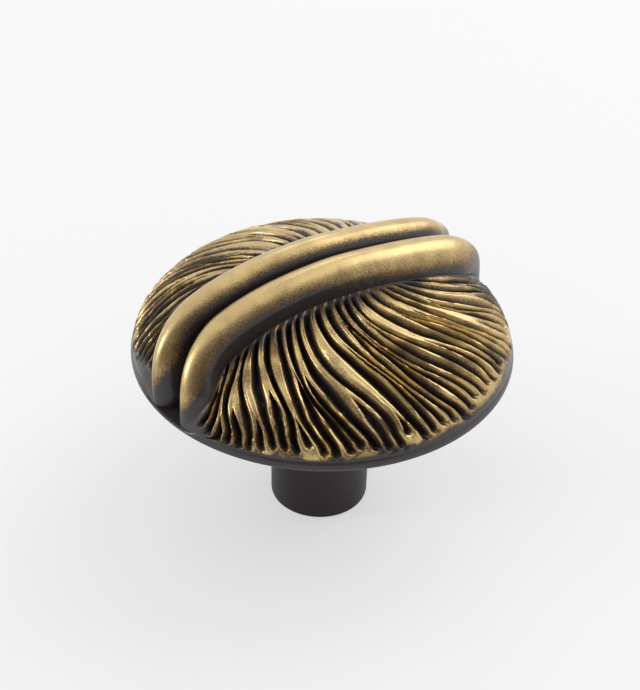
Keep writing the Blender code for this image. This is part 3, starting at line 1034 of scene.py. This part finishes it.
class CarvingTree(Field):
    """The Geometry Nodes tree that cuts the grooves and the thread into the plain casting."""

    def __init__(self, sizes: Carving) -> None:
        """Start the tree, with the sizes that can be changed on it as named inputs.

        Args:
            sizes: all sizes of the carving.
        """
        super().__init__(bpy.data.node_groups.new("carve_and_tap", "GeometryNodeTree"))
        self.sizes = sizes
        self.socket("Geometry", "Geometry")
        for name, (kind, value) in sizes.inputs().items():
            self.socket(name, kind, value)
        self.socket("Geometry", "Geometry", output=True)
        self.given = self.node("NodeGroupInput").outputs

    def opened(self, number: Value, along: Value) -> tuple[Value, Value]:
        """How far a groove has opened at a point along it.

        Args:
            number: the groove's whole number.
            along: 0 at the bar's foot and 1 at the band.

        Returns:
            Its width and its depth there, as shares of the full ones.
        """
        sizes = self.sizes
        odd = self.math("FLOORED_MODULO", number, 2.0)
        late = self.random(self.plus(number, START_DRAW), self.given["Seed"], *sizes.slit_start)
        start = self.blend(-1.0, late, odd)
        wide = self.ease(along, start, self.plus(start, self.given["Slit Length"]))
        return wide, self.ease(along, start, self.plus(start, sizes.slit_sink))

    def groove(self, number: Value, own: tuple[Value, Value], other: Value) -> Value:
        """How deep one groove cuts at each point.

        Args:
            number: the groove's whole number.
            own: how wide and how deep it has opened, as shares.
            other: how wide its neighbour beyond the point has opened.

        Returns:
            The cut as a share of the full depth.
        """
        sizes, seed = self.sizes, self.given["Seed"]
        place, along = self.attribute("place"), self.attribute("along")
        track = self.point(self.times(number, sizes.track_step), along)
        swing = self.less(self.noise(track, sizes.track_scale, 1.5), 0.5)
        centre = self.math("MULTIPLY_ADD", swing, self.given["Wander"], number)
        room = self.blend(sizes.half_width + sizes.lone_width, sizes.half_width, other)
        width = self.times(room, self.blend(sizes.slit_width, 1.0, own[0]))
        width = self.times(width, self.random(self.plus(number, WIDTH_DRAW), seed, *sizes.widths))
        away = self.math("ABSOLUTE", self.less(place, centre))
        inside = self.less(1.0, self.math("DIVIDE", away, width), clamp=True)
        tip = self.random(self.plus(number, TIP_DRAW), seed, *sizes.tip)
        first = self.math("FLOORED_MODULO", number, FAR_SIDE_PLACES)
        tip = self.plus(tip, self.ease(first, *sizes.left_tip))
        past = self.ramp(along, self.less(tip, sizes.tip_length), tip)
        round_end = self.math("SQRT", self.less(1.0, self.times(past, past), clamp=True))
        shape = self.math("POWER", self.times(inside, round_end), self.given["Groove Sharpness"])
        deep = self.times(own[1], self.random(self.plus(number, DEPTH_DRAW), seed, *sizes.depths))
        return self.times(shape, deep)

    def cut_ridges(self, geometry: Value) -> Value:
        """Add the nodes that cut the grooves and note how far each point is rubbed bare; on the far side the
        bare crests are narrowed, which is painted shade.

        Args:
            geometry: the plain casting.

        Returns:
            The carved geometry.
        """
        sizes = self.sizes
        place, along, carve, show = (self.attribute(name) for name in ("place", "along", "carve", "show"))
        left = self.math("FLOOR", place)
        right = self.plus(left, 1.0)
        at_left, at_right = (self.opened(number, along) for number in (left, right))
        cuts = self.groove(left, at_left, at_right[0]), self.groove(right, at_right, at_left[0])
        stretch = self.times(self.ease(along, 0.0, sizes.foot_length), carve)
        sunk = self.times(self.math("MAXIMUM", *cuts), stretch)

        where = self.node("GeometryNodeInputPosition").outputs[0]
        free = self.times(stretch, self.ease(along, *sizes.field_end))
        track = self.point(*(self.times(*pair) for pair in zip((place, along), sizes.streak_scales)))
        streak = self.less(self.noise(track, 1.0, 2.0), sizes.streak_level)
        patch = self.ease(self.noise(where, sizes.rough_patch_scale, 1.0), *sizes.rough_patches)
        bumps = self.times(self.less(self.noise(where, sizes.rough_scale, 2.0), 0.5), patch)
        lift = self.times(streak, self.given["Streaks"], 2.0)
        lift = self.plus(lift, self.times(bumps, self.given["Roughness"], 2.0))
        lift = self.less(self.times(lift, free), self.times(sunk, self.given["Groove Depth"]))

        in_front = self.node("ShaderNodeVectorMath", {0: where, 1: sizes.front}, operation="DOT_PRODUCT")
        in_front = self.ease(in_front.outputs["Value"], *sizes.front_smudge)
        smudge = self.ease(self.noise(where, sizes.smudge_scale, 1.0), *sizes.smudges, in_front)
        near_band = self.ease(along, *sizes.near_band, 1.0, smudge)
        near_band = self.times(near_band, self.ease(along, *sizes.band_fade))
        from_foot = self.ease(along, *sizes.foot_fade)
        cloud = self.ease(self.noise(where, sizes.cloud_scale, 2.0), *sizes.clouds)
        shown = self.times(self.times(near_band, from_foot), self.times(cloud, show))
        x, y, _ = self.node("ShaderNodeSeparateXYZ", {0: where}).outputs
        # Painted shade: the power grows from the near side to the far side, so less of each far crest is bare
        # and the far ridges look darker.
        standing_with_far_shade = self.math("POWER", self.less(1.0, sunk, clamp=True), self.ramp(y, *sizes.crest_power_with_far_shade))
        rub = self.math("MAXIMUM", self.attribute("rub"), self.times(standing_with_far_shade, shown))
        rub = self.times(rub, self.ease(x, *sizes.right_fade))
        # The stored rub holds the wear, and on the far side also the painted shade of the narrowed crests.
        geometry = self.store(geometry, "rub", rub)
        return self.shift(geometry, self.attribute("out", "FLOAT_VECTOR"), lift)

    def cut_thread(self, geometry: Value) -> Socket:
        """Add the nodes that cut a right-hand screw thread into the hole's wall.

        Args:
            geometry: the casting.

        Returns:
            The tapped geometry.
        """
        where = self.node("GeometryNodeInputPosition").outputs[0]
        x, y, z = self.node("ShaderNodeSeparateXYZ", {0: where}).outputs
        turn = self.math("DIVIDE", self.math("ARCTAN2", y, x), 2 * math.pi)
        phase = self.math("FRACT", self.less(self.math("DIVIDE", z, self.given["Thread Pitch"]), turn))
        height = self.math("ABSOLUTE", self.math("MULTIPLY_ADD", phase, 2.0, -1.0))
        cut = self.ramp(height, *self.sizes.thread_flank, self.given["Thread Depth"], 0.0)
        away = self.node("ShaderNodeVectorMath", {0: self.point(x, y)}, operation="NORMALIZE").outputs[0]
        return self.shift(geometry, away, self.times(cut, self.attribute("bore")))

    def finish(self, finishes: dict[Part, bpy.types.Material]) -> bpy.types.NodeTree:
        """Cut everything and give each stretch of the casting its material.

        Args:
            finishes: the material of each stretch.

        Returns:
            The tree, which ends in Realize Instances and Set Material.
        """
        geometry = self.cut_thread(self.cut_ridges(self.given["Geometry"]))
        geometry = self.node("GeometryNodeRealizeInstances", {"Geometry": geometry}).outputs[0]
        number = self.attribute("part", "INT")
        for part, finish in finishes.items():
            pair = {2: number, 3: part.value}
            chosen = self.node("FunctionNodeCompare", pair, data_type="INT", operation="EQUAL")
            inputs = {"Geometry": geometry, "Selection": chosen.outputs[0], "Material": finish}
            geometry = self.node("GeometryNodeSetMaterial", inputs).outputs[0]
        self.node("NodeGroupOutput", {"Geometry": geometry})
        return self.tree


def wear_group() -> bpy.types.NodeTree:
    """A shader group for where metal shows through the patina, first brown and then bright, in speckles.

    Returns:
        The group's node tree.
    """
    graph = Graph(bpy.data.node_groups.new("patina_wear", "ShaderNodeTree"))
    sizes = {"Patch Size": 0.0022, "Speckle Size": 0.00013}
    for name, value in {"Rub": 1.0, **sizes, "Patch": 0.35, "Speckle": 0.5, "Level": 0.5}.items():
        graph.socket(name, "Float", value)
    for name in ("Brown", "Bright", "Tone"):
        graph.socket(name, "Float", output=True)
    given = graph.node("NodeGroupInput").outputs
    where = graph.node("ShaderNodeTexCoord").outputs["Object"]
    patch = graph.noise(where, graph.math("DIVIDE", 1.0, given["Patch Size"]), 2.0)
    speckle = graph.noise(where, graph.math("DIVIDE", 1.0, given["Speckle Size"]), 1.0, 0.6)
    patch, speckle = (graph.less(value, 0.5) for value in (patch, speckle))
    level = graph.math("MULTIPLY_ADD", patch, given["Patch"], given["Rub"])
    level = graph.plus(level, graph.times(speckle, given["Speckle"]))
    level = graph.less(level, given["Level"])
    tone = graph.math("MULTIPLY_ADD", patch, TONE_SPREAD, TONE_MIDDLE, clamp=True)
    shown = {"Brown": graph.ease(level, *BROWN_LEVELS), "Bright": graph.ease(level, *BRIGHT_LEVELS)}
    graph.node("NodeGroupOutput", {**shown, "Tone": tone})
    return graph.tree


def grain_group() -> bpy.types.NodeTree:
    """A shader group with the fine uneven skin of a die casting, as a height from 0 to 1.

    Returns:
        The group's node tree.
    """
    graph = Graph(bpy.data.node_groups.new("cast_grain", "ShaderNodeTree"))
    graph.socket("Grain Size", "Float", 0.0003)
    graph.socket("Height", "Float", output=True)
    given = graph.node("NodeGroupInput").outputs
    where = graph.node("ShaderNodeTexCoord").outputs["Object"]
    scale = graph.math("DIVIDE", 1.0, given["Grain Size"])
    coarse = graph.noise(where, scale, 2.0)
    fine = graph.noise(where, graph.times(scale, FINE_GRAIN_SCALE), 1.0)
    height = graph.math("MULTIPLY_ADD", fine, FINE_GRAIN_SHARE, coarse)
    graph.node("NodeGroupOutput", {"Height": height})
    return graph.tree


@dataclass(frozen=True)
class AntiqueFinish:
    """Dark patina over brass under a thin clear lacquer, rubbed bare where the rub field is high."""

    name: str
    wear: bpy.types.NodeTree
    grain: bpy.types.NodeTree
    metal: Color = (0.69, 0.51, 0.22, 1.0)
    metal_shade: Color = (0.43, 0.31, 0.14, 1.0)
    brown: Color = (0.20, 0.115, 0.042, 1.0)
    patina: Color = (0.011, 0.0072, 0.006, 1.0)
    metal_roughness: float = 0.32
    patina_roughness: float = 0.45
    coat: float = 0.5
    coat_roughness: float = 0.09
    level: float = 0.45
    speckle: float = 0.8
    grain_size: float = 0.00018
    grain_height: float = 0.00002

    def build(self) -> bpy.types.Material:
        """Make the material.

        Returns:
            The material.
        """
        material = bpy.data.materials.new(self.name)
        material.use_nodes = True
        graph = Graph(material.node_tree)
        material.node_tree.nodes.clear()
        # The rub field holds the wear, and on the head's far side also painted shade.
        rub = graph.node("ShaderNodeAttribute", attribute_name="rub").outputs["Fac"]
        wear = graph.node("ShaderNodeGroup", node_tree=self.wear)
        for key, value in (("Rub", rub), ("Level", self.level), ("Speckle", self.speckle)):
            graph.put(wear, key, value)
        brown, bright, tone = (wear.outputs[name] for name in ("Brown", "Bright", "Tone"))
        metal = graph.mix_color(self.metal_shade, self.metal, tone)
        color = graph.mix_color(graph.mix_color(self.patina, self.brown, brown), metal, bright)
        roughness = graph.blend(self.patina_roughness, self.metal_roughness, brown)
        grain = graph.node("ShaderNodeGroup", node_tree=self.grain)
        grain.inputs["Grain Size"].default_value = self.grain_size
        height = {"Height": grain.outputs["Height"], "Distance": self.grain_height}
        bump = graph.node("ShaderNodeBump", height)
        inputs = {"Base Color": color, "Metallic": brown, "Roughness": roughness, "Normal": bump.outputs[0]}
        inputs |= {"Coat Weight": self.coat, "Coat Roughness": self.coat_roughness}
        shader = graph.node("ShaderNodeBsdfPrincipled", inputs)
        graph.node("ShaderNodeOutputMaterial", {"Surface": shader.outputs[0]})
        return material


@dataclass
class Knob:
    """The whole casting: a dome with two bars and two fields of ridges, on a stem with a tapped hole."""

    rim_radius: float = 0.01905

    def mesh(self) -> bpy.types.Mesh:
        """Build the casting's plain closed mesh, before the carving.

        Returns:
            The mesh.
        """
        dome = Dome(self.rim_radius)
        bars = Bars(dome)
        ridges = Ridges(dome, bars)
        shell = Shell()
        field_numbers = ridges.build(shell)
        foot = np.concatenate([field_numbers[::-1, 0], field_numbers[0, 1:], field_numbers[1:, -1]])
        left, right = bars.build(shell, foot)
        crown = np.concatenate([left[::-1], field_numbers[-1, 1:-1], right])
        x, y, _ = bars.ledge(1)[-1]
        Stem(dome).build(shell, crown, math.atan2(y, x))
        shell.repeat_half_turn()
        return shell.to_mesh(NODE)

    def finishes(self) -> dict[Part, bpy.types.Material]:
        """Make the material of each stretch.

        Returns:
            The materials.
        """
        wear, grain = wear_group(), grain_group()
        head = AntiqueFinish("rubbed_antique_brass", wear, grain)
        plain = {"coat": 0.0, "patina_roughness": 0.4, "grain_size": 0.0005}
        stem = AntiqueFinish("dark_bronze_stem", wear, grain, **plain)
        thread = AntiqueFinish("tapped_thread", wear, grain, metal_roughness=0.3, level=-0.3)
        return {Part.HEAD: head.build(), Part.STEM: stem.build(), Part.THREAD: thread.build()}

    def build(self) -> bpy.types.Object:
        """Make the piece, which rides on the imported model's body in place of its plain solid.

        Returns:
            The finished piece.
        """
        piece = bpy.data.objects.new("antique_knob", self.mesh())
        bpy.context.scene.collection.objects.link(piece)
        Carving().apply(piece, self.finishes())
        piece.data.set_sharp_from_angle(angle=math.radians(SHARP_DEGREES))
        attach(piece, "root")
        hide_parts(NODE)
        return piece


def direction(azimuth: float, elevation: float) -> Vector:
    """The direction from the knob at an azimuth, 0 to the front of the bars, and an elevation, in degrees."""
    a, e = math.radians(azimuth), math.radians(elevation)
    return Vector((math.sin(a) * math.cos(e), -math.cos(a) * math.cos(e), math.sin(e)))


@dataclass(frozen=True)
class Softbox:
    """A square lamp that faces the knob."""

    name: str
    azimuth: float
    elevation: float
    distance: float
    size: float
    level: float

    def build(self, target: Vector) -> bpy.types.Object:
        """Make the lamp, as bright as a surface of its level.

        Args:
            target: the point that it faces.

        Returns:
            The lamp.
        """
        away = direction(self.azimuth, self.elevation)
        data = bpy.data.lights.new(self.name, "AREA")
        data.shape = "SQUARE"
        data.size = self.size
        data.energy = self.level * math.pi * self.size**2
        lamp = bpy.data.objects.new(self.name, data)
        lamp.location = target + away * self.distance
        lamp.rotation_euler = away.to_track_quat("Z", "Y").to_euler()
        bpy.context.scene.collection.objects.link(lamp)
        return lamp


@dataclass
class Studio:
    """The pale floor, the soft light and the camera."""

    target: Vector = field(default_factory=lambda: Vector((0.0, 0.0, 0.0187)))
    azimuth: float = -36.0
    elevation: float = 37.22
    roll: float = 1.43
    distance: float = 0.17097
    lens: float = 89.19
    shift: Span = (-0.0033, 0.0018)
    white: float = 0.939
    sky: float = 0.82
    front: Span = (-36.0, 22.0)
    front_level: float = 0.25
    front_edge: Span = (0.45, 0.9)
    floor_color: Color = (0.86, 0.86, 0.86, 1.0)
    floor_glow: float = 0.53
    softboxes: tuple[Softbox, ...] = (
        Softbox("left_softbox", -118.0, 22.0, 0.60, 0.16, 8.5),
        Softbox("back_softbox", 146.0, 36.0, 0.70, 0.20, 1.5),
        Softbox("right_softbox", 88.0, 41.0, 0.60, 0.46, 1.7),
    )

    def build_camera(self) -> None:
        """Place the camera at the photograph's angle."""
        a, r = math.radians(self.azimuth), math.radians(self.roll)
        back = direction(self.azimuth, self.elevation)
        right = Vector((math.cos(a), math.sin(a), 0.0))
        up = back.cross(right)
        right, up = right * math.cos(r) + up * math.sin(r), up * math.cos(r) - right * math.sin(r)
        data = bpy.data.cameras.new("camera")
        data.lens = self.lens
        data.shift_x, data.shift_y = self.shift
        data.clip_start, data.clip_end = 0.01, 20.0
        camera = bpy.data.objects.new("camera", data)
        matrix = Matrix((right, up, back)).transposed().to_4x4()
        matrix.translation = self.target + back * self.distance
        camera.matrix_world = matrix
        bpy.context.scene.collection.objects.link(camera)
        bpy.context.scene.camera = camera

    def build_world(self) -> None:
        """A soft even sky, seen as plain white by the camera and in reflections."""
        world = bpy.data.worlds.new("studio")
        world.use_nodes = True
        world.node_tree.nodes.clear()
        graph = Graph(world.node_tree)
        path = graph.node("ShaderNodeLightPath").outputs
        where = graph.node("ShaderNodeTexCoord").outputs["Generated"]
        toward = {0: where, 1: direction(*self.front)}
        facing = graph.node("ShaderNodeVectorMath", toward, operation="DOT_PRODUCT").outputs["Value"]
        mirrored = graph.ease(facing, *self.front_edge, self.white, self.front_level)
        reflected = graph.math("MAXIMUM", path["Is Glossy Ray"], path["Is Transmission Ray"])
        strength = graph.blend(graph.blend(self.sky, mirrored, reflected), self.white, path["Is Camera Ray"])
        light = graph.node("ShaderNodeBackground", {"Color": WHITE, "Strength": strength})
        graph.node("ShaderNodeOutputWorld", {"Surface": light.outputs[0]})
        bpy.context.scene.world = world

    def build_floor(self) -> None:
        """A pale matt floor that keeps the knob's shadow."""
        mesh = bpy.data.meshes.new("floor")
        shape = bmesh.new()
        bmesh.ops.create_grid(shape, x_segments=1, y_segments=1, size=3.0)
        shape.to_mesh(mesh)
        shape.free()
        material = bpy.data.materials.new("pale_floor")
        material.use_nodes = True
        material.node_tree.nodes.clear()
        graph = Graph(material.node_tree)
        inputs = {"Base Color": self.floor_color, "Roughness": 0.9, "Specular IOR Level": 0.0}
        shader = graph.node("ShaderNodeBsdfPrincipled", inputs)
        glow = graph.node("ShaderNodeEmission", {"Color": WHITE, "Strength": self.white})
        seen = graph.node("ShaderNodeLightPath").outputs["Is Camera Ray"]
        share = graph.times(seen, self.floor_glow)
        mixed = graph.node("ShaderNodeMixShader", {0: share, 1: shader.outputs[0], 2: glow.outputs[0]})
        graph.node("ShaderNodeOutputMaterial", {"Surface": mixed.outputs[0]})
        mesh.materials.append(material)
        floor = bpy.data.objects.new("floor", mesh)
        bpy.context.scene.collection.objects.link(floor)

    def build(self) -> None:
        """Set the whole studio up."""
        bpy.context.scene.view_settings.view_transform = "Standard"
        self.build_camera()
        self.build_world()
        self.build_floor()
        for softbox in self.softboxes:
            softbox.build(self.target)


def corners(box: tuple[Vector, Vector]) -> list[list[float]]:
    """A box's lowest and highest corner as plain lists."""
    return [list(corner) for corner in box]


def main() -> None:
    """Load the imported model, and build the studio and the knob."""
    logging.basicConfig(level=logging.INFO, format="%(name)s: %(message)s")
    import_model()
    Studio().build()
    LOG.info("studio ready")
    piece = Knob().build()
    piece.data.calc_loop_triangles()
    LOG.info("%s: %d triangles", piece.name, len(piece.data.loop_triangles))


if __name__ == "__main__":
    main()
